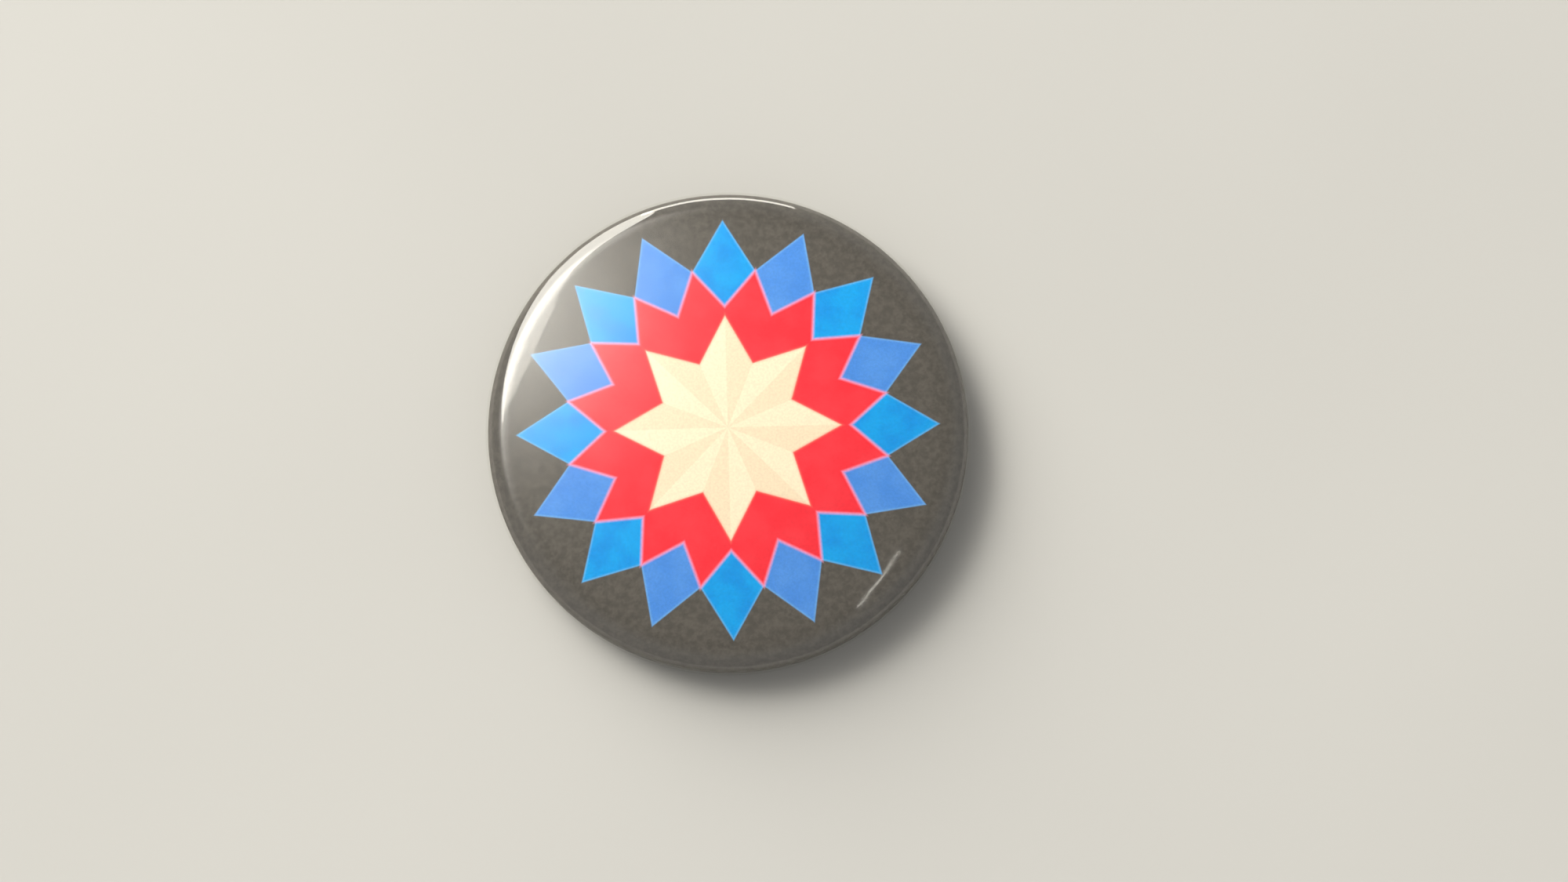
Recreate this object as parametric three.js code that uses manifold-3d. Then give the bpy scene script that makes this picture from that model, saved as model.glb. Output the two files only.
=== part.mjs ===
// A 25 mm pin-back button badge. A clear film and a printed paper disc are wrapped over a pressed tinplate
// shell, whose curled lip holds a tinplate back plate. Two straps on that plate hold a small safety pin.
// Millimetres. +Z points out of the face, +X from the pin's coil to its clasp, and z = 0 is the pin's lowest
// point, on which the badge rests when it lies face up.
import * as THREE from "three";
import { mergeVertices } from "three/addons/utils/BufferGeometryUtils.js";
import Module from "manifold-3d";

const wasm = await Module();
wasm.setup();

// Driving dimensions: the badge's outline.
const BADGE_RADIUS = 12.7;
const FACE_CURVATURE = 68.5; // radius of the low dome
const SHOULDER_RADIUS = 1.2;
const SHOULDER_Z = 2.8; // centre of the shoulder's arc
const CURL_RADIUS = 1.4; // outside of the rim, where it curls under
const CURL_Z = 2.0;
const CURL_END = -168; // degrees round the curl, from the side to the end of the lip

// Driving dimensions: the sheets and the gaps between them.
const FILM_THICKNESS = 0.1;
const PAPER_THICKNESS = 0.12;
const SHEET_THICKNESS = 0.25;
const LAYER_GAP = 0.03;

// Driving dimensions: the back plate.
const PLATE_CENTRE_Z = 1.725; // middle of the sheet, on the raised centre
const PLATE_CENTRE_RADIUS = 6.0;
const PLATE_SLOPE = 0.35; // the step from the centre to the flange, across and up
const PLATE_SEAT_RADIUS = 9.3; // where the flange steps up again to its seat on the lip
const PLATE_SEAT_STEP = 0.15;
const PLATE_WALL_RADIUS = 11.55;
const PLATE_WALL_TOP = 3.1;
const PLATE_BEND = 0.1; // how far before a corner each bend starts, here and below

// Driving dimensions: the pin.
const WIRE_RADIUS = 0.35;
const LEG_Y = -1.5;
const LEG_Z = 1.15;
const LEG_END_X = 9.0;
const COIL_X = -7.6;
const COIL_RADIUS = 1.25;
const COIL_PITCH = 0.8;
const SPLIT_GAP = 8; // degrees left open between the two halves of the coil
const NEEDLE_ROOT_GAP = 0.4; // from the end of the coil to the centre of the needle's round root
const NEEDLE_TIP = new THREE.Vector3(8.7, 1.5, 0.85);
const NEEDLE_TAPER = 2.6;

// Driving dimensions: the straps and the clasp.
const STRAP_START = 3.2; // along X, from the middle of the badge
const STRAP_LENGTH = 2.0;
const STRAP_HALF_SPAN = 1.05;
const STRAP_HALF_FLOOR = 0.55;
const STRAP_CLEARANCE = 0.08;
const STRAP_BEND = 0.25;
const SLIT = 0.1; // open cut at each end of a strap
const SLOT_HALF_WIDTH = 0.98;
const CLASP_START = 6.5;
const CLASP_END = 9.4;
const CLASP_LEG_LIP = -0.95; // where the lip under the leg ends, along Y
const CLASP_NEEDLE_LIP = 1.62; // where the lip under the needle ends, along Y
const CLASP_WALL_GAP = 0.07;
const CLASP_NEEDLE_GAP = 0.1;
const CLASP_TOP_GAP = 0.05;
const CLASP_BEND = 0.4;

// Facets.
const ROUND_SEGMENTS = 40;
const WIRE_SIDES = 10;
const FACE_STEPS = 3;
const SHOULDER_STEPS = 3;
const CURL_STEPS = 5;
const BEND_STEPS = 2;
const PLATE_BEND_STEPS = 1;
const COIL_STEPS = 10; // in each half turn
const ROOT_STEPS = 3;

const TINPLATE = { color: 0xb9bbbc, roughness: 0.35, metalness: 0.9 };
const NICKEL = { color: 0xc9c7c2, roughness: 0.25, metalness: 1.0 };

// Worked out from the driving dimensions.
const COIL_Y = LEG_Y + COIL_RADIUS;
const COIL_LOW_Z = LEG_Z - COIL_PITCH;
const shoulderCentre = BADGE_RADIUS - SHOULDER_RADIUS;
const curlCentre = BADGE_RADIUS - CURL_RADIUS;
const shoulderStart = (Math.asin(shoulderCentre / (FACE_CURVATURE - SHOULDER_RADIUS)) * 180) / Math.PI;
const faceCentreZ = SHOULDER_Z - Math.sqrt((FACE_CURVATURE - SHOULDER_RADIUS) ** 2 - shoulderCentre ** 2);

// Points on an arc in a plane, from one angle to another in degrees, both ends included.
function arc(x, y, radius, from, to, steps) {
  return Array.from({ length: steps + 1 }, (_, i) => {
    const angle = ((from + ((to - from) * i) / steps) * Math.PI) / 180;
    return new THREE.Vector2(x + radius * Math.cos(angle), y + radius * Math.sin(angle));
  });
}

// A line with each inner corner rounded in steps, the bend starting at a distance of cut from the corner.
function roundCorners(corners, cut, steps) {
  const line = [corners[0]];
  for (let i = 1; i < corners.length - 1; i++) {
    const corner = corners[i];
    const start = corner.clone().add(corners[i - 1].clone().sub(corner).setLength(cut));
    const end = corner.clone().add(corners[i + 1].clone().sub(corner).setLength(cut));
    line.push(...new THREE.QuadraticBezierCurve(start, corner, end).getPoints(steps));
  }
  return [...line, corners[corners.length - 1]];
}

// A line moved sideways by a distance, to the left of its direction, with mitred corners.
function moveSideways(line, distance) {
  return line.map((point, i) => {
    const before = i > 0 ? point.clone().sub(line[i - 1]).normalize() : null;
    const after = i < line.length - 1 ? line[i + 1].clone().sub(point).normalize() : null;
    const along = (before ?? after).clone().add(after ?? before).normalize();
    const reach = distance / along.dot(before ?? after);
    return new THREE.Vector2(point.x - along.y * reach, point.y + along.x * reach);
  });
}

// The closed outline of a bent sheet, from the corners of its middle line.
function sheetOutline(corners, cut, steps) {
  const line = roundCorners(corners, cut, steps);
  const left = moveSideways(line, SHEET_THICKNESS / 2);
  const right = moveSideways(line, -SHEET_THICKNESS / 2);
  return [...right, ...left.reverse()];
}

// A geometry with only merged positions, as manifold-3d needs.
function bare(geometry) {
  geometry.deleteAttribute("normal");
  geometry.deleteAttribute("uv");
  return mergeVertices(geometry, 1e-4);
}

function toSolid(geometry) {
  const merged = bare(geometry);
  return new wasm.Manifold(
    new wasm.Mesh({
      numProp: 3,
      vertProperties: merged.attributes.position.array,
      triVerts: new Uint32Array(merged.index.array),
    }),
  );
}

function toGeometry(solid) {
  const mesh = solid.getMesh();
  return new THREE.BufferGeometry()
    .setAttribute("position", new THREE.BufferAttribute(mesh.vertProperties, 3))
    .setIndex(new THREE.BufferAttribute(mesh.triVerts, 1));
}

function node(name, geometry, look) {
  const mesh = new THREE.Mesh(geometry, new THREE.MeshStandardMaterial(look));
  mesh.name = name;
  return mesh;
}

// A body of revolution about Z from an outline of (radius, z) points.
function turned(outline) {
  return new THREE.LatheGeometry(outline, ROUND_SEGMENTS).rotateX(Math.PI / 2);
}

// A prism along X from an outline of (y, z) points.
function alongX(outline, start, end) {
  const prism = new THREE.ExtrudeGeometry(new THREE.Shape(outline), {
    depth: end - start,
    bevelEnabled: false,
  });
  const turnToX = new THREE.Matrix4().makeBasis(
    new THREE.Vector3(0, 1, 0),
    new THREE.Vector3(0, 0, 1),
    new THREE.Vector3(1, 0, 0),
  );
  return prism.applyMatrix4(turnToX).translate(start, 0, 0);
}

// The badge's outline at a depth under its outer surface: dome, shoulder, side and curled rim.
function outlineAt(depth) {
  const shoulderTop = 90 - shoulderStart;
  return [
    ...arc(0, faceCentreZ, FACE_CURVATURE - depth, 90, shoulderTop, FACE_STEPS).slice(0, -1),
    ...arc(shoulderCentre, SHOULDER_Z, SHOULDER_RADIUS - depth, shoulderTop, 0, SHOULDER_STEPS),
    ...arc(curlCentre, CURL_Z, CURL_RADIUS - depth, 0, CURL_END, CURL_STEPS),
  ];
}

// One layer of the front, wrapped over the rim. Its first and last points are put exactly on the axis.
function wrappedLayer(depth, thickness) {
  const outline = [...outlineAt(depth), ...outlineAt(depth + thickness).reverse()];
  outline[0].x = 0;
  outline[outline.length - 1].x = 0;
  return turned(outline.reverse());
}

function strapSolid(start) {
  const floor = LEG_Z - WIRE_RADIUS - STRAP_CLEARANCE - SHEET_THICKNESS / 2;
  const corners = [
    new THREE.Vector2(LEG_Y - STRAP_HALF_SPAN, PLATE_CENTRE_Z),
    new THREE.Vector2(LEG_Y - STRAP_HALF_FLOOR, floor),
    new THREE.Vector2(LEG_Y + STRAP_HALF_FLOOR, floor),
    new THREE.Vector2(LEG_Y + STRAP_HALF_SPAN, PLATE_CENTRE_Z),
  ];
  return toSolid(alongX(sheetOutline(corners, STRAP_BEND, BEND_STEPS), start, start + STRAP_LENGTH));
}

function slotSolid(start) {
  const slot = new THREE.BoxGeometry(STRAP_LENGTH + 2 * SLIT, 2 * SLOT_HALF_WIDTH, 1);
  return toSolid(slot.translate(start + STRAP_LENGTH / 2, LEG_Y, PLATE_CENTRE_Z));
}

// The pressed dish with its raised centre and turned-up wall, and the two straps lanced out of it.
function backPlate() {
  const flangeZ = PLATE_CENTRE_Z + PLATE_SLOPE;
  const corners = [
    new THREE.Vector2(0, PLATE_CENTRE_Z),
    new THREE.Vector2(PLATE_CENTRE_RADIUS, PLATE_CENTRE_Z),
    new THREE.Vector2(PLATE_CENTRE_RADIUS + PLATE_SLOPE, flangeZ),
    new THREE.Vector2(PLATE_SEAT_RADIUS, flangeZ),
    new THREE.Vector2(PLATE_SEAT_RADIUS + PLATE_SEAT_STEP, flangeZ + PLATE_SEAT_STEP),
    new THREE.Vector2(PLATE_WALL_RADIUS, flangeZ + PLATE_SEAT_STEP),
    new THREE.Vector2(PLATE_WALL_RADIUS, PLATE_WALL_TOP),
  ];
  let plate = toSolid(turned(sheetOutline(corners, PLATE_BEND, PLATE_BEND_STEPS)));
  for (const start of [-STRAP_START - STRAP_LENGTH, STRAP_START])
    plate = plate.subtract(slotSolid(start)).add(strapSolid(start));
  return toGeometry(plate);
}

// A path through its own points, one step each, so that a straight stretch takes a single step.
class WirePath extends THREE.Curve {
  constructor(points) {
    super();
    this.points = points;
  }
  getPoint(t) {
    const place = Math.min(Math.max(t, 0), 1) * (this.points.length - 1);
    const i = Math.min(Math.floor(place), this.points.length - 2);
    return this.points[i].clone().lerp(this.points[i + 1], place - i);
  }
  getPointAt(u) {
    return this.getPoint(u);
  }
  getTangentAt(u) {
    return this.getTangent(u);
  }
}

function wireAlong(points) {
  const section = new THREE.Shape(arc(0, 0, WIRE_RADIUS, 0, 360, WIRE_SIDES).slice(0, -1));
  return new THREE.ExtrudeGeometry(section, {
    steps: points.length - 1,
    extrudePath: new WirePath(points),
  });
}

// Points on the coil from one angle to another in degrees. The wire goes clockwise as seen from +Z: half a
// turn at the leg's height, half a turn down, and half a turn at the needle's height.
function coilPoints(from, to, steps) {
  return arc(COIL_X, COIL_Y, COIL_RADIUS, from, to, steps).map((point, i) => {
    const angle = from + ((to - from) * i) / steps;
    const down = THREE.MathUtils.smoothstep(-angle, 270, 450);
    return new THREE.Vector3(point.x, point.y, LEG_Z - COIL_PITCH * down);
  });
}

// The straight leg that the straps hold, and the coil's first three quarters of a turn.
function fixedLeg() {
  return wireAlong([
    new THREE.Vector3(LEG_END_X, LEG_Y, LEG_Z),
    ...coilPoints(-90, -270, COIL_STEPS),
    ...coilPoints(-270, -360 + SPLIT_GAP / 2, COIL_STEPS / 2).slice(1),
  ]);
}

// The coil's last three quarters of a turn.
function lowerCoil() {
  return wireAlong([
    ...coilPoints(-360 - SPLIT_GAP / 2, -450, COIL_STEPS / 2),
    ...coilPoints(-450, -630, COIL_STEPS).slice(1),
  ]);
}

// The needle, from a round root beside the end of the coil to its point inside the clasp.
function needle() {
  const root = new THREE.Vector3(COIL_X + NEEDLE_ROOT_GAP, COIL_Y + COIL_RADIUS, COIL_LOW_Z);
  const length = root.distanceTo(NEEDLE_TIP);
  const outline = [
    ...arc(0, 0, WIRE_RADIUS, -90, 0, ROOT_STEPS),
    new THREE.Vector2(WIRE_RADIUS, length - NEEDLE_TAPER),
    new THREE.Vector2(0, length),
  ];
  outline[0].x = 0;
  const along = NEEDLE_TIP.clone().sub(root).normalize();
  const turn = new THREE.Quaternion().setFromUnitVectors(new THREE.Vector3(0, 1, 0), along);
  return new THREE.LatheGeometry(outline, WIRE_SIDES).applyQuaternion(turn).translate(...root);
}

// A folded sheet cap, closed at its far end. The slot between its two lips lets the needle out.
function clasp() {
  const legWall = LEG_Y - WIRE_RADIUS - CLASP_WALL_GAP - SHEET_THICKNESS / 2;
  const needleWall = NEEDLE_TIP.y + WIRE_RADIUS + CLASP_NEEDLE_GAP + SHEET_THICKNESS / 2;
  const low = SHEET_THICKNESS / 2;
  const high = LEG_Z + WIRE_RADIUS + CLASP_TOP_GAP + SHEET_THICKNESS / 2;
  const corners = [
    new THREE.Vector2(CLASP_LEG_LIP, low),
    new THREE.Vector2(legWall, low),
    new THREE.Vector2(legWall, high),
    new THREE.Vector2(needleWall, high),
    new THREE.Vector2(needleWall, low),
    new THREE.Vector2(CLASP_NEEDLE_LIP, low),
  ];
  const outside = moveSideways(roundCorners(corners, CLASP_BEND, BEND_STEPS), SHEET_THICKNESS / 2);
  const sleeve = toSolid(alongX(sheetOutline(corners, CLASP_BEND, BEND_STEPS), CLASP_START, CLASP_END));
  const endWall = toSolid(alongX(outside, CLASP_END - SHEET_THICKNESS, CLASP_END));
  return toGeometry(sleeve.add(endWall));
}

const paperDepth = FILM_THICKNESS + LAYER_GAP;
const shellDepth = paperDepth + PAPER_THICKNESS + LAYER_GAP;
const clear = { color: 0xf4f4f2, roughness: 0.05, metalness: 0, transparent: true, opacity: 0.2 };
const print = { color: 0x4a4641, roughness: 0.6, metalness: 0 };

const badge = new THREE.Group();
badge.add(node("front_film", wrappedLayer(0, FILM_THICKNESS), clear));
badge.add(node("printed_disc", wrappedLayer(paperDepth, PAPER_THICKNESS), print));
badge.add(node("front_shell", wrappedLayer(shellDepth, SHEET_THICKNESS), TINPLATE));
badge.add(node("back_plate", backPlate(), TINPLATE));

const pin = new THREE.Group();
pin.add(node("pin_fixed_leg", fixedLeg(), NICKEL));
pin.add(node("pin_coil", lowerCoil(), NICKEL));
pin.add(node("pin_needle", needle(), NICKEL));
pin.add(node("pin_clasp", clasp(), NICKEL));
badge.add(pin);

export default badge;
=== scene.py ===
import math

import bmesh
import bpy
import numpy as np
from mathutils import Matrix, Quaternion, Vector
from mathutils.geometry import delaunay_2d_cdt


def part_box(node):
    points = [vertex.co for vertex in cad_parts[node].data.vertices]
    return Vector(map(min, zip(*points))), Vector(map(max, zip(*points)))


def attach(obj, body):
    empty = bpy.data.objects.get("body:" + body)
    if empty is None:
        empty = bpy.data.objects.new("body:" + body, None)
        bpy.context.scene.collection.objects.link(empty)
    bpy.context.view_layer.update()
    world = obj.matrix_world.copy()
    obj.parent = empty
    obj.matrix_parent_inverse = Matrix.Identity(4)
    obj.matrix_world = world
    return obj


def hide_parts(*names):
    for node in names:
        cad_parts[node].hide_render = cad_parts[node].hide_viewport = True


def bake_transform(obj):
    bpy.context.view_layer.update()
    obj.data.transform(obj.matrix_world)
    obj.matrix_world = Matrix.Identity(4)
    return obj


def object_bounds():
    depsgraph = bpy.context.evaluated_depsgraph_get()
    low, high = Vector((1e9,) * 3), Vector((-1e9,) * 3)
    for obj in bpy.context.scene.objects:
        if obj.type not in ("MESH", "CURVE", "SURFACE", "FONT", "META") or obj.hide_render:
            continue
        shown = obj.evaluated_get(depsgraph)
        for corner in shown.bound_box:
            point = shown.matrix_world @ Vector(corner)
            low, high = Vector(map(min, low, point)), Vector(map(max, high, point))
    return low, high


# The looks of a 25 mm pin-back button badge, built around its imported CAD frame. Lengths are in millimetres
# until a mesh is made. +Z points out of the face, and +X runs along the pin, from its coil to its clasp.
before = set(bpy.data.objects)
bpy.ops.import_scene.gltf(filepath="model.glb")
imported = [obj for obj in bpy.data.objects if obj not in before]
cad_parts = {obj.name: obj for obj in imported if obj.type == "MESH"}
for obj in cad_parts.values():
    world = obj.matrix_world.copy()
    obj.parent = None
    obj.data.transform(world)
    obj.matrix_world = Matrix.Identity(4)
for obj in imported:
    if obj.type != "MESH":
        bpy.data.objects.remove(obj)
cad_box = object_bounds()

MM = 0.001


def box_mm(name):
    """Lowest and highest corner of a CAD node, in millimetres."""
    low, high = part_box(name)
    return low / MM, high / MM


film_box, plate_box = box_mm("front_film"), box_mm("back_plate")
coil_box, clasp_box = box_mm("pin_coil"), box_mm("pin_clasp")
leg_box, needle_box = box_mm("pin_fixed_leg"), box_mm("pin_needle")

# The badge's outline: a low dome, a rounded shoulder and a rim that curls under.
RADIUS = film_box[1].x
CROWN_Z = film_box[1].z
SHOULDER_RADIUS = 1.2
SHOULDER_Z = 2.8
CURL_RADIUS = 1.4
CURL_Z = 2.0
CURL_END = -168  # degrees round the curl, from the side to the end of the lip

# The sheets, from the outside in.
FILM = 0.1
PAPER = 0.12
SHEET = 0.25
LAYER_GAP = 0.03

# Small pleats where the film and the paper are gathered under the rim.
PLEATS = 46
PLEAT_HEIGHT = 0.075
PLEAT_FROM = 55  # degrees round the curl, where they start and where they are full
PLEAT_FULL = 150

# The back plate and its straps.
PLATE_Z = 1.725
PLATE_FILL_RADIUS = 5.895
PLATE_CENTRE_RADIUS = 6.0
PLATE_SLOPE = 0.35
PLATE_SEAT_RADIUS = 9.3
PLATE_SEAT_STEP = 0.15
STRAP_START = 3.2
STRAP_LENGTH = 2.0
STRAP_HALF_SPAN = 1.05
STRAP_HALF_FLOOR = 0.55
STRAP_BEND = 0.16
SLIT = 0.1

# The pin.
WIRE_RADIUS = 0.35
LEG_Y = -1.5
LEG_Z = leg_box[1].z - WIRE_RADIUS
COIL_X = (coil_box[0].x + coil_box[1].x) / 2
COIL_RADIUS = 1.25
COIL_Y = LEG_Y + COIL_RADIUS
COIL_LOW_Z = WIRE_RADIUS
NEEDLE_TIP = np.array([needle_box[1].x, 1.5, 0.85])
NEEDLE_BEND = 1.8  # from the end of the coil to where the needle runs straight
NEEDLE_TAPER = 2.6
POINT_RADIUS = 0.012

# The clasp: a folded cap, whose lips leave a slot for the needle.
CLASP_LEG_LIP = -0.95
CLASP_NEEDLE_LIP = 1.62
CLASP_CORNER = 0.42
CLASP_NOSE = 0.35

# Facets.
ROUND_STEPS = 480
PLATE_STEPS = 192
WIRE_SIDES = 32
BEND_STEPS = 6


# ---------------------------------------------------------------- lines and meshes


def arc(centre, radius, start, end, steps):
    """Points on an arc from one angle to another in degrees, as rows of place and outward direction."""
    angle = np.radians(np.linspace(start, end, steps + 1))
    out = np.column_stack([np.cos(angle), np.sin(angle)])
    return np.column_stack([np.array(centre) + radius * out, out])


def rounded(corners, cuts, steps):
    """A line with its inner corners rounded, each bend starting at its own distance from the corner."""
    corners = [np.array(c, float) for c in corners]
    line = [corners[0]]
    for before, corner, after, cut in zip(corners, corners[1:], corners[2:], cuts):
        start = corner + (before - corner) / np.linalg.norm(before - corner) * cut
        end = corner + (after - corner) / np.linalg.norm(after - corner) * cut
        for t in np.linspace(0, 1, steps + 1):
            line.append((1 - t) ** 2 * start + 2 * t * (1 - t) * corner + t * t * end)
    return np.array([*line, corners[-1]])


def smooth(t):
    """0 below 0, 1 above 1, and a smooth step between them."""
    t = np.clip(t, 0, 1)
    return t * t * (3 - 2 * t)


def grid_faces(rows, columns, first=0):
    """Faces between rows of points that close on themselves."""
    return [
        (first + i * columns + j, first + (i + 1) * columns + j,
         first + (i + 1) * columns + (j + 1) % columns, first + i * columns + (j + 1) % columns)
        for i in range(rows - 1)
        for j in range(columns)
    ]


def make_piece(name, points, faces, sharp=40):
    """A mesh object from points in millimetres, its faces pointing out, smooth but for its sharp edges."""
    mesh = bpy.data.meshes.new(name)
    mesh.from_pydata((np.asarray(points) * MM).tolist(), [], faces)
    work = bmesh.new()
    work.from_mesh(mesh)
    bmesh.ops.recalc_face_normals(work, faces=work.faces)
    work.to_mesh(mesh)
    work.free()
    piece = bpy.data.objects.new(name, mesh)
    bpy.context.scene.collection.objects.link(piece)
    soften(piece, sharp)
    return piece


def soften(piece, sharp):
    """Smooth shading, with the edges over an angle in degrees left sharp."""
    piece.data.shade_smooth()
    piece.data.set_sharp_from_angle(angle=math.radians(sharp))


def flatten_level_faces(piece):
    """Flat shading on the level faces, so that bends beside them don't shade them."""
    curved = [abs(face.normal.z) < 0.99999 for face in piece.data.polygons]
    piece.data.polygons.foreach_set("use_smooth", curved)


def apply_modifiers(piece):
    """Replaces the piece's mesh by what its modifiers make of it."""
    graph = bpy.context.evaluated_depsgraph_get()
    mesh = bpy.data.meshes.new_from_object(piece.evaluated_get(graph))
    piece.modifiers.clear()
    piece.data = mesh


def thicken(piece, thickness, edge, sharp=40):
    """Gives a sheet's middle surface its thickness, and takes the sharpness off its edges."""
    solid = piece.modifiers.new("thickness", "SOLIDIFY")
    solid.thickness = thickness * MM
    solid.offset = 0
    solid.use_even_offset = True
    solid.use_quality_normals = True
    bevel = piece.modifiers.new("edges", "BEVEL")
    bevel.width = edge * MM
    bevel.segments = 2
    bevel.limit_method = "ANGLE"
    bevel.angle_limit = math.radians(50)
    bevel.use_clamp_overlap = False
    apply_modifiers(piece)
    soften(piece, sharp)


# ---------------------------------------------------------------- the wrapped front


def wrapped_line(depth, steps):
    """The badge's outline at a depth: rows of radius, height and outward direction, crown to lip."""
    across, up = RADIUS - SHOULDER_RADIUS, CROWN_Z - SHOULDER_Z
    dome = (across**2 + up**2 - SHOULDER_RADIUS**2) / (2 * (up - SHOULDER_RADIUS))
    top = math.degrees(math.acos(across / (dome - SHOULDER_RADIUS)))
    face, shoulder, curl = steps
    line = np.vstack([
        arc((0, CROWN_Z - dome), dome - depth, 90, top, face)[:-1],
        arc((across, SHOULDER_Z), SHOULDER_RADIUS - depth, top, 0, shoulder),
        arc((RADIUS - CURL_RADIUS, CURL_Z), CURL_RADIUS - depth, 0, CURL_END, curl),
    ])
    line[0, 0] = 0
    return line


def lip_edge(depth, thickness):
    """The rounded cut edge at the end of a layer's lip."""
    end = math.radians(CURL_END)
    out = np.array([math.cos(end), math.sin(end)])
    onward = np.array([out[1], -out[0]])
    middle = np.array([RADIUS - CURL_RADIUS, CURL_Z]) + out * (CURL_RADIUS - depth - thickness / 2)
    turn = np.radians([45, 90, 135])[:, None]
    place = middle + (out * np.cos(turn) + onward * np.sin(turn)) * thickness / 2
    return np.column_stack([place, np.tile(out, (3, 1))])


def pleats(direction, turn):
    """How far the gathered layers stand off the rim at each outward direction and each turn about Z."""
    curled = -np.degrees(np.arctan2(direction[:, 1], direction[:, 0]))
    gathered = smooth((curled - PLEAT_FROM) / (PLEAT_FULL - PLEAT_FROM))
    wander = 1.9 * np.sin(5 * turn + 0.6) + 1.3 * np.sin(9 * turn + 2.1) + 0.8 * np.sin(14 * turn)
    ridge = (0.5 + 0.5 * np.sin(PLEATS * turn + wander)) ** 3
    size = 0.62 + 0.25 * np.sin(7 * turn + 1.0) + 0.13 * np.sin(17 * turn + 0.4)
    return PLEAT_HEIGHT * gathered[:, None] * (ridge * size)[None, :]


def turned_layer(name, depth, thickness, outside, inside, steps, pleated):
    """A layer of the front, turned about Z and closed at its lip. outside and inside are how many steps its
    dome, shoulder and curl take. Faces of the outside take the first material, and the rest the second."""
    skin = wrapped_line(depth, outside)
    line = np.vstack([skin, lip_edge(depth, thickness), wrapped_line(depth + thickness, inside)[::-1]])
    turn = np.arange(steps) / steps * 2 * math.pi
    lift = pleats(line[:, 2:], turn) if pleated else np.zeros((len(line), steps))
    across = line[1:-1, 0, None] + line[1:-1, 2, None] * lift[1:-1]
    height = line[1:-1, 1, None] + line[1:-1, 3, None] * lift[1:-1]
    rings = np.stack([across * np.cos(turn), across * np.sin(turn), height], -1).reshape(-1, 3)
    rows, last = len(line) - 2, len(rings)
    points = np.vstack([rings, [0, 0, line[0, 1]], [0, 0, line[-1, 1]]])
    faces = grid_faces(rows, steps)
    faces += [(last, j, (j + 1) % steps) for j in range(steps)]
    low = (rows - 1) * steps
    faces += [(last + 1, low + (j + 1) % steps, low + j) for j in range(steps)]
    piece = make_piece(name, points, faces)
    seen = (len(skin) - 2) * steps
    shown = np.ones(len(faces), int)
    shown[:seen] = 0
    shown[(rows - 1) * steps:rows * steps] = 0
    return piece, shown


def front_layer(name, node, slot, depth, thickness, materials, pleated=True, steps=ROUND_STEPS):
    """One layer of the front in its two materials, riding on the badge's body."""
    piece, shown = turned_layer(name, depth, thickness, (14, 16, 30), (8, 10, 18), steps, pleated)
    for material in materials:
        piece.data.materials.append(material)
    if len(materials) > 1:
        piece.data.polygons.foreach_set("material_index", shown.astype(np.int32))
    place(piece, "badge_body", slot, node)


def place(piece, body, slot, *nodes):
    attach(piece, body)
    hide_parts(*nodes)


# ---------------------------------------------------------------- the back plate


def plate_line():
    """The middle of the plate's sheet from the edge of its flat centre to the top of its wall."""
    flange = PLATE_Z + PLATE_SLOPE
    seat = flange + PLATE_SEAT_STEP
    wall = plate_box[1].x - SHEET / 2
    corners = [
        (PLATE_FILL_RADIUS, PLATE_Z),
        (PLATE_CENTRE_RADIUS, PLATE_Z),
        (PLATE_CENTRE_RADIUS + PLATE_SLOPE, flange),
        (PLATE_SEAT_RADIUS, flange),
        (PLATE_SEAT_RADIUS + PLATE_SEAT_STEP, seat),
        (wall, seat),
        (wall, plate_box[1].z),
    ]
    return rounded(corners, [0.1, 0.2, 0.09, 0.09, 0.4], BEND_STEPS)


def strap_line():
    """The middle of a strap's sheet across the pin: rows of y and z."""
    floor = plate_box[0].z + SHEET / 2
    root = STRAP_HALF_SPAN - STRAP_BEND
    corners = [
        (LEG_Y - STRAP_HALF_SPAN, PLATE_Z),
        (LEG_Y - root, PLATE_Z),
        (LEG_Y - STRAP_HALF_FLOOR, floor),
        (LEG_Y + STRAP_HALF_FLOOR, floor),
        (LEG_Y + root, PLATE_Z),
        (LEG_Y + STRAP_HALF_SPAN, PLATE_Z),
    ]
    return rounded(corners, [STRAP_BEND, 0.3, 0.3, STRAP_BEND], BEND_STEPS)[1:-1]


def back_plate(material):
    """The pressed dish: a lathed rim round a flat centre, out of which the two straps are lanced."""
    work = bmesh.new()
    turn = np.arange(PLATE_STEPS) / PLATE_STEPS * 2 * math.pi
    rings = [
        [work.verts.new((r * math.cos(a) * MM, r * math.sin(a) * MM, z * MM)) for a in turn]
        for r, z in plate_line()
    ]
    for low, high in zip(rings, rings[1:]):
        for j in range(PLATE_STEPS):
            k = (j + 1) % PLATE_STEPS
            work.faces.new((low[j], high[j], high[k], low[k]))
    holes = [lanced_strap(work, start) for start in (-STRAP_START - STRAP_LENGTH, STRAP_START)]
    fill_between(work, [rings[0], *holes])
    bmesh.ops.recalc_face_normals(work, faces=work.faces)
    mesh = bpy.data.meshes.new("back_dish")
    work.to_mesh(mesh)
    work.free()
    piece = bpy.data.objects.new("back_dish", mesh)
    bpy.context.scene.collection.objects.link(piece)
    thicken(piece, SHEET, 0.03)
    flatten_level_faces(piece)
    piece.data.materials.append(material)
    place(piece, "badge_body", "tinplate", "back_plate")


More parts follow.
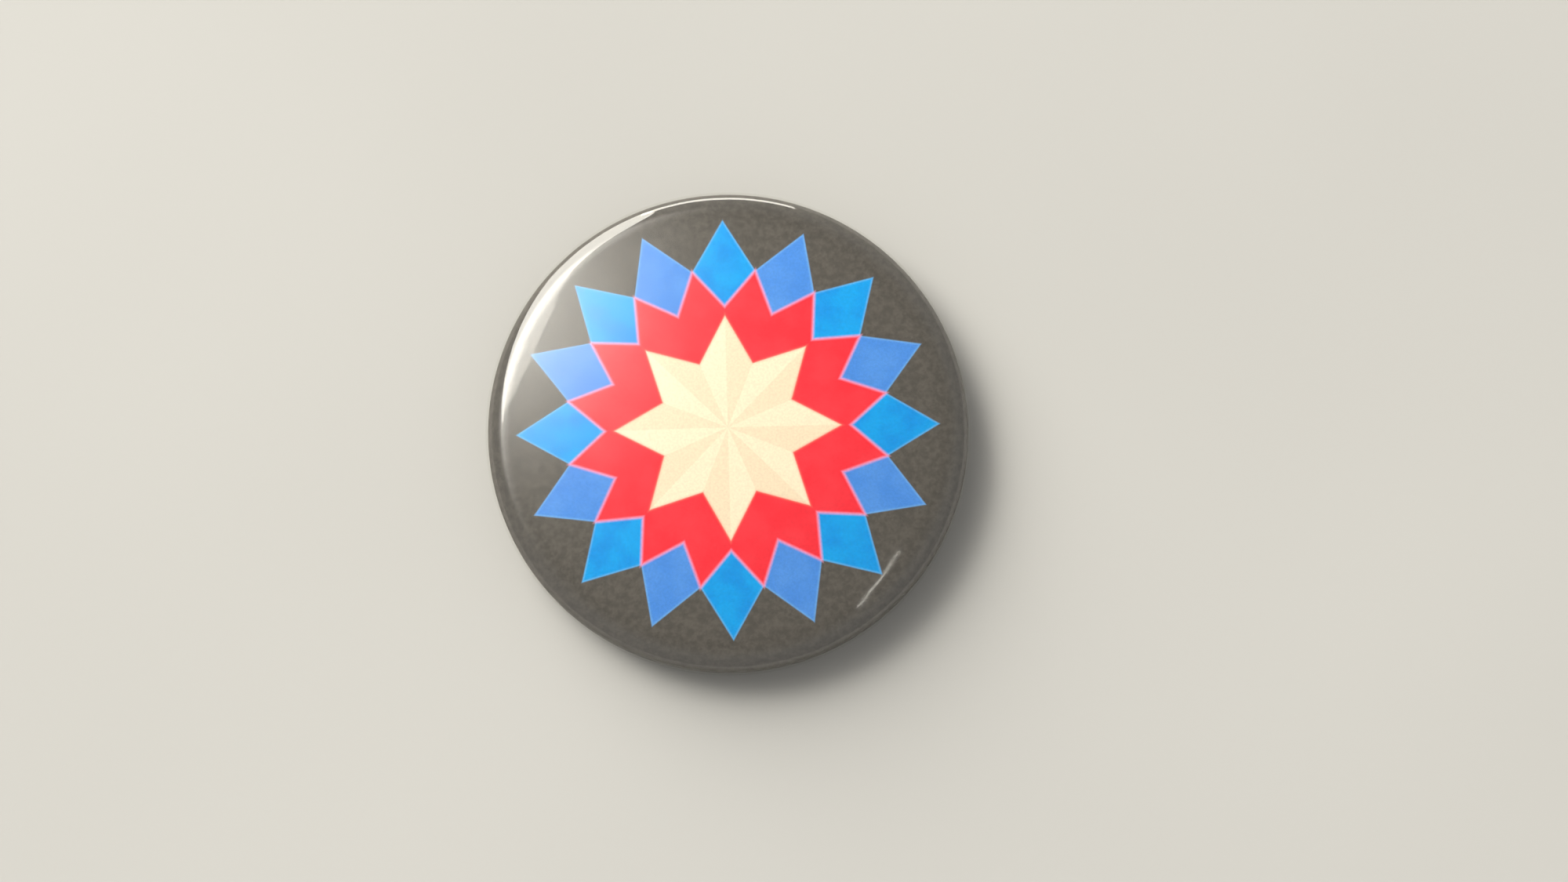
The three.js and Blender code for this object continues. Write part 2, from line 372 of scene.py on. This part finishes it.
def lanced_strap(work, start):
    """Adds a strap to the plate's mesh, and returns the outline of the hole in the plate round it: a slit
    with rounded ends along each side of the strap."""
    end = start + STRAP_LENGTH
    rows = [[work.verts.new((x * MM, y * MM, z * MM)) for x in (start, end)] for y, z in strap_line()]
    for (a, b), (d, c) in zip(rows, rows[1:]):
        work.faces.new((a, b, c, d))

    def slit_end(x, out, row, onward):
        """The end of a slit on one side of the strap, from its outer corner to its middle."""
        y = row[0].co.y
        places = ((x + out * SLIT, y), (x + out * SLIT / 2, y + onward * SLIT / 2 * MM))
        return [work.verts.new((px * MM, py, PLATE_Z * MM)) for px, py in places]

    near, far = rows[0], rows[-1]
    return [
        *slit_end(start, -1, near, -1), *near, *reversed(slit_end(end, 1, near, -1)),
        *slit_end(end, 1, far, 1), *reversed(far), *reversed(slit_end(start, -1, far, 1)),
    ]


def fill_between(work, loops):
    """Fills the flat space between an outer loop of points and the holes in it with triangles."""
    points = [point for loop in loops for point in loop]
    ends = np.cumsum([0, *map(len, loops)])
    outlines = [list(range(first, last)) for first, last in zip(ends, ends[1:])]
    triangles_outside_holes = 2
    made = delaunay_2d_cdt([p.co.xy / MM for p in points], [], outlines, triangles_outside_holes, 1e-6)
    for face in made[2]:
        work.faces.new([points[made[3][i][0]] for i in face])


# ---------------------------------------------------------------- the pin


def swept(name, path, ahead, radii, sides=WIRE_SIDES):
    """A round wire along a path with its directions. Each point of it keeps its place on the straightened
    wire as the attribute wire_place, for the material."""
    ahead = ahead / np.linalg.norm(ahead, axis=1)[:, None]
    side = np.cross(ahead[0], (0, 0, 1))
    turn = np.arange(sides) / sides * 2 * math.pi
    rings, places = [], []
    run = np.concatenate([[0], np.cumsum(np.linalg.norm(np.diff(path, axis=0), axis=1))])
    for point, forward, radius, along in zip(path, ahead, radii, run):
        side = side - forward * (side @ forward)
        side = side / np.linalg.norm(side)
        up = np.cross(forward, side)
        rings.append(point + radius * (np.outer(np.cos(turn), side) + np.outer(np.sin(turn), up)))
        places.append(np.column_stack([np.full(sides, along), radius * np.cos(turn), radius * np.sin(turn)]))
    points = np.vstack(rings)
    faces = grid_faces(len(path), sides)
    faces += [tuple(range(sides)), tuple(range(len(points) - 1, len(points) - sides - 1, -1))]
    piece = make_piece(name, points, faces, 50)
    attribute = piece.data.attributes.new("wire_place", "FLOAT_VECTOR", "POINT")
    attribute.data.foreach_set("vector", np.vstack(places).astype(np.float32).ravel())
    return piece


def leg_and_coil():
    """The path of the fixed leg and of one and a half turns of coil, clockwise as seen from +Z."""
    turn = np.radians(np.linspace(90, 630, 145))
    down = (turn - math.radians(270)) / math.pi
    drop = LEG_Z - COIL_LOW_Z
    slope = -drop * 6 * np.clip(down, 0, 1) * (1 - np.clip(down, 0, 1)) / math.pi
    coil = np.column_stack([
        COIL_X + COIL_RADIUS * np.cos(turn),
        COIL_Y - COIL_RADIUS * np.sin(turn),
        LEG_Z - drop * smooth(down),
    ])
    coil_ahead = np.column_stack([-COIL_RADIUS * np.sin(turn), -COIL_RADIUS * np.cos(turn), slope])
    leg = np.array([(x, LEG_Y, LEG_Z) for x in np.linspace(leg_box[1].x, COIL_X, 24)[:-1]])
    return np.vstack([leg, coil]), np.vstack([np.tile((-1.0, 0, 0), (len(leg), 1)), coil_ahead])


def needle_path():
    """The needle's path: an easy bend out of the coil, then straight to the point."""
    start = np.array([COIL_X, COIL_Y + COIL_RADIUS, COIL_LOW_Z])
    along = NEEDLE_TIP - start
    along = along / np.linalg.norm(along)
    join = start + along * NEEDLE_BEND
    handle = NEEDLE_BEND / 3
    a, b = start + np.array([handle, 0, 0]), join - along * handle
    t = np.linspace(0, 1, 25)[:, None]
    bend = (1 - t) ** 3 * start + 3 * t * (1 - t) ** 2 * a + 3 * t * t * (1 - t) * b + t**3 * join
    ahead = (1 - t) ** 2 * (a - start) + 2 * t * (1 - t) * (b - a) + t * t * (join - b)
    length = np.linalg.norm(NEEDLE_TIP - join)
    shaft = np.linspace(0, length - NEEDLE_TAPER, 12)[1:]
    point = length - NEEDLE_TAPER + NEEDLE_TAPER * np.linspace(0, 1, 25)[1:]
    runs = np.concatenate([shaft, point])
    left = np.clip((length - runs) / NEEDLE_TAPER, 0, 1)
    radii = np.concatenate([np.full(len(t), WIRE_RADIUS), WIRE_RADIUS * left**0.85])
    path = np.vstack([bend, join + runs[:, None] * along])
    return path, np.vstack([ahead, np.tile(along, (len(runs), 1))]), np.maximum(radii, POINT_RADIUS)


def pin(material):
    """The pin's one wire, in two pieces because it bends at two joints. They meet face to face."""
    path, ahead = leg_and_coil()
    wire = swept("pin_wire", path, ahead, np.full(len(path), WIRE_RADIUS))
    wire.data.materials.append(material)
    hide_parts("pin_fixed_leg", "pin_coil")
    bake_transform(wire)
    needle = swept("pin_point", *needle_path())
    needle.data.materials.append(material)
    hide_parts("pin_needle")
    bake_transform(needle)


# ---------------------------------------------------------------- the clasp


def clasp_section(inset):
    """The middle of the clasp's sheet from lip to lip, drawn in by an inset: rows of y and z."""
    low_y, high_y = clasp_box[0].y + SHEET / 2, clasp_box[1].y - SHEET / 2
    low_z, high_z = clasp_box[0].z + SHEET / 2, clasp_box[1].z - SHEET / 2
    c = CLASP_CORNER
    bends = [
        arc((low_y + c, low_z + c), c - inset, 270, 180, BEND_STEPS),
        arc((low_y + c, high_z - c), c - inset, 180, 90, BEND_STEPS),
        arc((high_y - c, high_z - c), c - inset, 90, 0, BEND_STEPS),
        arc((high_y - c, low_z + c), c - inset, 0, -90, BEND_STEPS),
    ]
    line = [[(CLASP_LEG_LIP, low_z + inset)], *[b[:, :2] for b in bends], [(CLASP_NEEDLE_LIP, low_z + inset)]]
    return np.vstack(line)


def clasp(material):
    """The folded cap: a sleeve with a slot along its underside, rounded in to a closed nose."""
    start, end = clasp_box[0].x, clasp_box[1].x - SHEET / 2
    bend = np.radians(np.linspace(0, 90, BEND_STEPS + 1))
    stations = [(x, 0.0) for x in np.linspace(start, end - CLASP_NOSE, 8)[:-1]]
    stations += [
        (end - CLASP_NOSE + CLASP_NOSE * math.sin(b), CLASP_NOSE * (1 - math.cos(b))) for b in bend
    ]
    rows = [[(x, y, z) for y, z in clasp_section(inset)] for x, inset in stations]
    count = len(rows[0])
    faces = [
        (i * count + j, (i + 1) * count + j, (i + 1) * count + j + 1, i * count + j + 1)
        for i in range(len(rows) - 1)
        for j in range(count - 1)
    ]
    faces.append(tuple(range((len(rows) - 1) * count, len(rows) * count)))
    piece = make_piece("clasp_cap", np.vstack(rows), faces)
    thicken(piece, SHEET, 0.05)
    piece.data.materials.append(material)
    place(piece, "pin_frame", "clasp_sheet", "pin_clasp")


# ---------------------------------------------------------------- materials


class Recipe:
    """A material's node tree, with short calls for the nodes that the materials below are made of."""

    def __init__(self, name):
        self.material = bpy.data.materials.new(name)
        self.material.use_nodes = True
        self.tree = self.material.node_tree
        self.tree.nodes.clear()
        self.output = self.add("OutputMaterial")
        place_mm = self.add("VectorMath", {0: self.add("TexCoord").outputs["Object"]}, operation="SCALE")
        place_mm.inputs["Scale"].default_value = 1 / MM
        self.place = place_mm.outputs[0]

    def add(self, kind, inputs=None, **settings):
        node = self.tree.nodes.new("ShaderNode" + kind)
        for key, value in settings.items():
            setattr(node, key, value)
        for key, value in (inputs or {}).items():
            if isinstance(value, bpy.types.NodeSocket):
                self.tree.links.new(value, node.inputs[key])
            else:
                node.inputs[key].default_value = value
        return node

    def maths(self, operation, a, b=0.0):
        return self.add("Math", {0: a, 1: b}, operation=operation).outputs[0]

    def ramp(self, value, low, high, to_low=0.0, to_high=1.0, kind="SMOOTHSTEP"):
        """value from low to high made to go from to_low to to_high, and held past them."""
        inputs = {"Value": value, "From Min": low, "From Max": high, "To Min": to_low, "To Max": to_high}
        return self.add("MapRange", inputs, interpolation_type=kind).outputs[0]

    def mix(self, share, a, b):
        node = self.add("Mix", {0: share}, data_type="RGBA")
        for index, value in ((6, a), (7, b)):
            if isinstance(value, bpy.types.NodeSocket):
                self.tree.links.new(value, node.inputs[index])
            else:
                node.inputs[index].default_value = (*value, 1)
        return node.outputs[2]

    def stretched(self, x, y, z, source=None):
        """Places scaled by a factor along each axis, in places per millimetre."""
        inputs = {"Vector": source or self.place, "Scale": (x, y, z)}
        return self.add("Mapping", inputs).outputs[0]

    def noise(self, scale, detail=2.0, source=None, roughness=0.5):
        inputs = {
            "Vector": source or self.place, "Scale": scale, "Detail": detail, "Roughness": roughness,
        }
        return self.add("TexNoise", inputs).outputs["Fac"]

    def bump(self, height, distance, before=None):
        """A normal from a height between 0 and 1 that stands for a distance in millimetres."""
        inputs = {"Height": height, "Distance": distance * MM}
        if before is not None:
            inputs["Normal"] = before
        return self.add("Bump", inputs).outputs[0]

    def finish(self, shader):
        self.tree.links.new(shader.outputs[0], self.output.inputs["Surface"])
        return self.material


def srgb(red, green, blue):
    """A colour given as the eye sees it on a screen, from 0 to 255, in the linear numbers of a shader."""
    return tuple(
        c / 12.92 if c <= 0.04045 else ((c + 0.055) / 1.055) ** 2.4
        for c in (red / 255, green / 255, blue / 255)
    )


DOME_EDGE_Z = SHOULDER_Z + SHOULDER_RADIUS  # about where the dome turns into the shoulder
# How strongly the film mirrors on each part of the badge.
FACE_SHINE = 0.85
SHOULDER_SHINE = 2.6
SIDE_SHINE = 0.8


def clear_film():
    """Glossy clear polyester, a little uneven, with fine hairlines. It is tight and bright over the shoulder,
    and duller on the face, where it is rubbed."""
    r = Recipe("clear_film")
    ripple = r.bump(r.noise(0.35, 1.0), 0.012)
    normal = r.bump(r.noise(2.0, 2.0), 0.0003, before=ripple)
    hairs = r.noise(1.0, 2.0, r.stretched(0.35, 9.0, 1.0))
    worn = r.ramp(hairs, 0.60, 0.78)
    haze = r.ramp(r.noise(0.8, 4.0), 0.35, 0.75, 0.035, 0.075)
    roughness = r.maths("ADD", haze, r.maths("MULTIPLY", worn, 0.05))
    fresnel = r.add("Fresnel", {"IOR": 1.7, "Normal": normal}).outputs[0]
    mirror = r.ramp(fresnel, 0.06, 1.0, 0.06, 0.2, "LINEAR")
    height = r.add("SeparateXYZ", {0: r.place}).outputs[2]
    on_side = r.ramp(height, DOME_EDGE_Z - 0.7, DOME_EDGE_Z - 0.3, SIDE_SHINE, SHOULDER_SHINE)
    on_face = r.ramp(height, DOME_EDGE_Z - 0.1, DOME_EDGE_Z + 0.05, 1.0, FACE_SHINE / SHOULDER_SHINE)
    outside = r.maths("SUBTRACT", 1.0, r.add("NewGeometry").outputs["Backfacing"])
    shine = r.maths("MULTIPLY", r.maths("MULTIPLY", on_side, on_face), outside)
    gloss = r.add("BsdfGlossy", {"Roughness": roughness, "Normal": normal})
    clear = r.add("BsdfTransparent", {"Color": (0.985, 0.985, 0.975, 1)})
    inputs = {0: r.maths("MULTIPLY", mirror, shine), 1: clear.outputs[0], 2: gloss.outputs[0]}
    return r.finish(r.add("MixShader", inputs))


def zigzag(r, across, folded, tip, notch, count):
    """How far a place lies outside a star with this many points, as a share of the badge's radius.
    across is its distance from the middle, and folded its turn from the nearest point of the star."""
    half = math.pi / count
    corner_x, corner_y = notch * math.cos(half), notch * math.sin(half)
    length = math.hypot(corner_x - tip, corner_y)
    out_x, out_y = corner_y / length, (tip - corner_x) / length
    along = r.maths("MULTIPLY", r.maths("COSINE", folded), out_x)
    aside = r.maths("MULTIPLY", r.maths("SINE", folded), out_y)
    reach = r.maths("MULTIPLY", across, r.maths("ADD", along, aside))
    return r.maths("SUBTRACT", reach, tip * out_x)


PRINT_TURN = 1.6  # degrees, anticlockwise
GROUND = srgb(83, 79, 75)
GROUND_SPECK = srgb(97, 92, 87)
BRIGHT_BLUE = srgb(0, 164, 244)
BRIGHT_CLOUD = srgb(0, 148, 236)
VIOLET_BLUE = srgb(74, 142, 232)
VIOLET_CLOUD = srgb(84, 150, 236)
RED = srgb(250, 44, 60)
RED_CLOUD = srgb(252, 56, 70)
PALE_CREAM = srgb(252, 237, 211)
WARM_CREAM = srgb(248, 227, 200)
PINK_FRINGE = srgb(252, 168, 212)
PALE_FRINGE = srgb(140, 200, 250)
ORANGE_FRINGE = srgb(250, 150, 130)
# The sunburst's tips and notches, and how wide the inks' fringes and their soft edges are, as shares of the
# badge's radius.
KITE_TIP = 0.87
RED_TIP = 0.665
RED_NOTCH = 0.505
CREAM_TIP = 0.465
CREAM_NOTCH = 0.285
FRINGE = 0.011
INK_EDGE = 0.0035


def sunburst(r):
    """The print's colours: a plain sunburst medallion. Sixteen blue kites stand round a red star with as
    many points, and that holds a cream star with eight folded ones."""
    unit = r.add("Mapping", {
        "Vector": r.place, "Scale": (1 / RADIUS,) * 3, "Rotation": (0, 0, math.radians(-PRINT_TURN)),
    }).outputs[0]
    split = r.add("SeparateXYZ", {0: unit}).outputs
    across = r.maths("SQRT", r.maths("ADD", r.maths("POWER", split[0], 2.0), r.maths("POWER", split[1], 2.0)))
    turn = r.maths("ARCTAN2", split[1], split[0])
    sixteenth, eighth = math.pi / 16, math.pi / 8
    to_kite = r.maths("PINGPONG", turn, sixteenth)
    to_ray = r.maths("SUBTRACT", sixteenth, to_kite)
    to_facet = r.maths("PINGPONG", turn, eighth)
    kites = zigzag(r, across, to_kite, KITE_TIP, RED_TIP, 16)
    reds = zigzag(r, across, to_ray, RED_TIP, RED_NOTCH, 16)
    creams = zigzag(r, across, to_facet, CREAM_TIP, CREAM_NOTCH, 8)

    def inside(distance):
        return r.ramp(distance, -INK_EDGE, INK_EDGE, 1.0, 0.0)

    def edge(distance, strength):
        return r.maths("MULTIPLY", r.ramp(r.maths("ABSOLUTE", distance), 0.0, FRINGE, 1.0, 0.0), strength)

    eightfold = r.maths("MULTIPLY", turn, 8.0)
    other_kite = r.ramp(r.maths("COSINE", eightfold), -0.02, 0.02)
    other_facet = r.ramp(r.maths("SINE", eightfold), -0.06, 0.06)
    cloud = r.noise(0.7, 3.0)
    grain = r.noise(9.0, 2.0)
    violet = r.mix(r.ramp(cloud, 0.35, 0.7), VIOLET_BLUE, VIOLET_CLOUD)
    bright = r.mix(r.ramp(cloud, 0.35, 0.7), BRIGHT_BLUE, BRIGHT_CLOUD)
    blue = r.mix(other_kite, violet, bright)
    blue = r.mix(edge(kites, 0.45), blue, PALE_FRINGE)
    red = r.mix(r.ramp(cloud, 0.3, 0.75), RED, RED_CLOUD)
    cream = r.mix(other_facet, WARM_CREAM, PALE_CREAM)
    mottle = r.noise(2.8, 4.0, roughness=0.65)
    ground = r.mix(r.ramp(mottle, 0.36, 0.66), GROUND, GROUND_SPECK)
    on_face = r.maths("GREATER_THAN", split[2], (DOME_EDGE_Z - SHOULDER_RADIUS / 2) / RADIUS)
    inks = r.mix(r.maths("MULTIPLY", inside(kites), on_face), ground, blue)
    inks = r.mix(inside(reds), inks, red)
    inks = r.mix(edge(reds, 0.6), inks, PINK_FRINGE)
    inks = r.mix(inside(creams), inks, cream)
    inks = r.mix(edge(creams, 0.3), inks, ORANGE_FRINGE)
    return r.add("HueSaturation", {"Value": r.ramp(grain, 0.3, 0.7, 0.93, 1.03), "Color": inks}).outputs[0]


def printed_paper():
    """Paper with its inks. The film over it carries the gloss."""
    r = Recipe("printed_paper")
    fibres = r.noise(5.0, 3.0, r.stretched(1.0, 1.7, 1.0))
    roughness = r.ramp(r.noise(2.0, 3.0), 0.3, 0.7, 0.32, 0.5)
    shader = r.add("BsdfPrincipled", {
        "Base Color": sunburst(r), "Roughness": roughness, "Normal": r.bump(fibres, 0.004),
        "Specular IOR Level": 0.12,
    })
    return r.finish(shader)


def bare_paper():
    """The paper's unprinted back and its cut edge."""
    r = Recipe("bare_paper")
    fibres = r.noise(7.0, 4.0, r.stretched(1.0, 2.2, 1.0))
    colour = r.mix(r.ramp(fibres, 0.3, 0.7), srgb(226, 222, 212), srgb(240, 237, 230))
    roughness = r.ramp(fibres, 0.3, 0.7, 0.75, 0.9)
    shader = r.add("BsdfPrincipled", {
        "Base Color": colour, "Roughness": roughness, "Normal": r.bump(fibres, 0.01),
    })
    return r.finish(shader)


def metal(name, light, dark, smoothest, roughest, grain, marks, lines):
    """Bright metal from two tints and the span of its roughness. grain gives the places for its lines,
    marks is the scale of its dents, and lines is the depth of its lines."""
    r = Recipe(name)
    streaks = r.noise(1.0, 4.0, grain(r), 0.65)
    blotches = r.noise(0.45, 3.0)
    colour = r.mix(r.ramp(blotches, 0.3, 0.72), light, dark)
    colour = r.mix(r.ramp(streaks, 0.3, 0.75, 0.0, 0.2), colour, dark)
    rough = r.ramp(streaks, 0.28, 0.72, smoothest, roughest)
    rough = r.maths("ADD", rough, r.ramp(blotches, 0.45, 0.8, 0.0, 0.08))
    dents = r.bump(r.noise(marks, 2.0), 0.006)
    shader = r.add("BsdfPrincipled", {
        "Base Color": colour, "Metallic": 1.0, "Roughness": rough,
        "Normal": r.bump(streaks, lines, before=dents),
    })
    return r.finish(shader)


def tinplate():
    """Rolled tinplate, its fine lines along X."""
    return metal(
        "tinplate", srgb(214, 215, 216), srgb(192, 193, 194), 0.24, 0.36,
        lambda r: r.stretched(0.35, 18.0, 6.0), 1.2, 0.0012,
    )


def spring_wire():
    """Nickel-plated wire with the faint lines of its drawing along it."""
    def along_wire(r):
        straight = r.add("Attribute", attribute_name="wire_place").outputs["Vector"]
        return r.stretched(0.4, 16.0, 16.0, straight)

    return metal(
        "spring_wire", srgb(222, 219, 213), srgb(190, 186, 178), 0.12, 0.3, along_wire, 2.0, 0.003,
    )


def clasp_sheet():
    """Nickel-plated sheet with the marks of the press that folded it."""
    return metal(
        "clasp_sheet", srgb(219, 217, 212), srgb(186, 183, 176), 0.14, 0.32,
        lambda r: r.stretched(1.2, 9.0, 9.0), 2.6, 0.003,
    )


# ---------------------------------------------------------------- the set


DAYLIGHT = (1.0, 0.97, 0.88)
SKY = (0.38, 0.375, 0.36)
GLOW = (11.5, 11.1, 10.2)  # the sky's bright side
GLOW_AT = (140, 58)  # its azimuth and elevation
GLOW_POWER = 40.0  # the higher, the narrower it is
LIGHT_DISTANCE = 0.5  # metres, as the lights' sizes are


def floor():
    """A plain pale floor at the height of the surface that the badge rests on."""
    r = Recipe("floor")
    tone = r.ramp(r.noise(0.02, 2.0), 0.3, 0.7)
    colour = r.mix(tone, (0.53, 0.525, 0.51), (0.55, 0.545, 0.53))
    inputs = {"Base Color": colour, "Roughness": 0.9, "Specular IOR Level": 0.0}
    material = r.finish(r.add("BsdfPrincipled", inputs))
    half = 3000
    points = [(-half, -half, 0), (half, -half, 0), (half, half, 0), (-half, half, 0)]
    ground = make_piece("floor", points, [(0, 1, 2, 3)])
    ground.data.materials.append(material)
    ground.location.z = cad_box[0].z - 0.01 * MM


def towards(azimuth, elevation):
    """A direction, by its turn from +X towards +Y and its height above the horizon, in degrees."""
    a, e = math.radians(azimuth), math.radians(elevation)
    return Vector((math.cos(a) * math.cos(e), math.sin(a) * math.cos(e), math.sin(e)))


def soft_light(name, azimuth, elevation, shape, size, power, roll=0):
    """A soft light facing the badge. roll turns it clockwise, in degrees, as seen from the badge."""
    data = bpy.data.lights.new(name, "AREA")
    data.shape = shape
    data.size, data.size_y = size
    data.energy = power
    data.color = DAYLIGHT
    light = bpy.data.objects.new(name, data)
    bpy.context.scene.collection.objects.link(light)
    light.location = towards(azimuth, elevation) * LIGHT_DISTANCE
    light.rotation_mode = "QUATERNION"
    facing = (-light.location).to_track_quat("-Z", "Y")
    light.rotation_quaternion = facing @ Quaternion((0, 0, 1), math.radians(roll))


def lights():
    """A tall light and a low one beside it at the upper left, which draw the pale crescent on the shoulder,
    and a thin strip almost overhead, which draws a faint line on the dome at the lower right."""
    soft_light("tall_light", 129.6, 28.2, "ELLIPSE", (0.34, 0.84), 3.4, -21)
    soft_light("low_light", 93, 6, "RECTANGLE", (0.30, 0.11), 0.55)
    soft_light("strip", -30, 72, "RECTANGLE", (0.067, 0.004), 0.008)


def studio_world():
    """Even soft light, with a bright side above the upper left."""
    world = bpy.data.worlds.new("studio")
    bpy.context.scene.world = world
    world.use_nodes = True
    tree = world.node_tree
    tree.nodes.clear()

    def add(kind, **settings):
        node = tree.nodes.new("ShaderNode" + kind)
        for key, value in settings.items():
            setattr(node, key, value)
        return node

    coordinates = add("TexCoord")
    dot = add("VectorMath", operation="DOT_PRODUCT")
    tree.links.new(coordinates.outputs["Generated"], dot.inputs[0])
    dot.inputs[1].default_value = towards(*GLOW_AT)
    near = add("Math", operation="MAXIMUM")
    tree.links.new(dot.outputs["Value"], near.inputs[0])
    lobe = add("Math", operation="POWER")
    tree.links.new(near.outputs[0], lobe.inputs[0])
    lobe.inputs[1].default_value = GLOW_POWER
    mix = add("Mix", data_type="RGBA")
    mix.inputs[6].default_value = (*SKY, 1)
    mix.inputs[7].default_value = (*GLOW, 1)
    tree.links.new(lobe.outputs[0], mix.inputs[0])
    background = add("Background")
    tree.links.new(mix.outputs[2], background.inputs["Color"])
    output = add("OutputWorld")
    tree.links.new(background.outputs[0], output.inputs["Surface"])


def camera():
    """A long lens from the photograph's side, seven degrees off the badge's axis."""
    elevation, width, lens, sensor = 83, 82.2, 135, 36
    aim = Vector((2.92, -0.4, 2.3)) * MM
    data = bpy.data.cameras.new("camera")
    data.lens, data.sensor_width = lens, sensor
    data.clip_start, data.clip_end = 0.01, 20
    view = bpy.data.objects.new("camera", data)
    bpy.context.scene.collection.objects.link(view)
    back = towards(-90, elevation)
    view.location = aim + back * (width * MM * lens / sensor)
    view.rotation_mode = "QUATERNION"
    view.rotation_quaternion = (-back).to_track_quat("-Z", "Y")
    bpy.context.scene.camera = view


def build():
    bpy.context.scene.view_settings.view_transform = "Standard"
    camera()
    studio_world()
    lights()
    floor()
    film, paper, back, tin = clear_film(), printed_paper(), bare_paper(), tinplate()
    paper_depth = FILM + LAYER_GAP
    shell_depth = paper_depth + PAPER + LAYER_GAP
    front_layer("film_wrap", "front_film", "clear_film", 0, FILM, [film])
    front_layer("printed_wrap", "printed_disc", "printed_paper", paper_depth, PAPER, [paper, back])
    front_layer("shell_cup", "front_shell", "tinplate", shell_depth, SHEET, [tin], False, PLATE_STEPS)
    back_plate(tin)
    pin(spring_wire())
    clasp(clasp_sheet())


build()
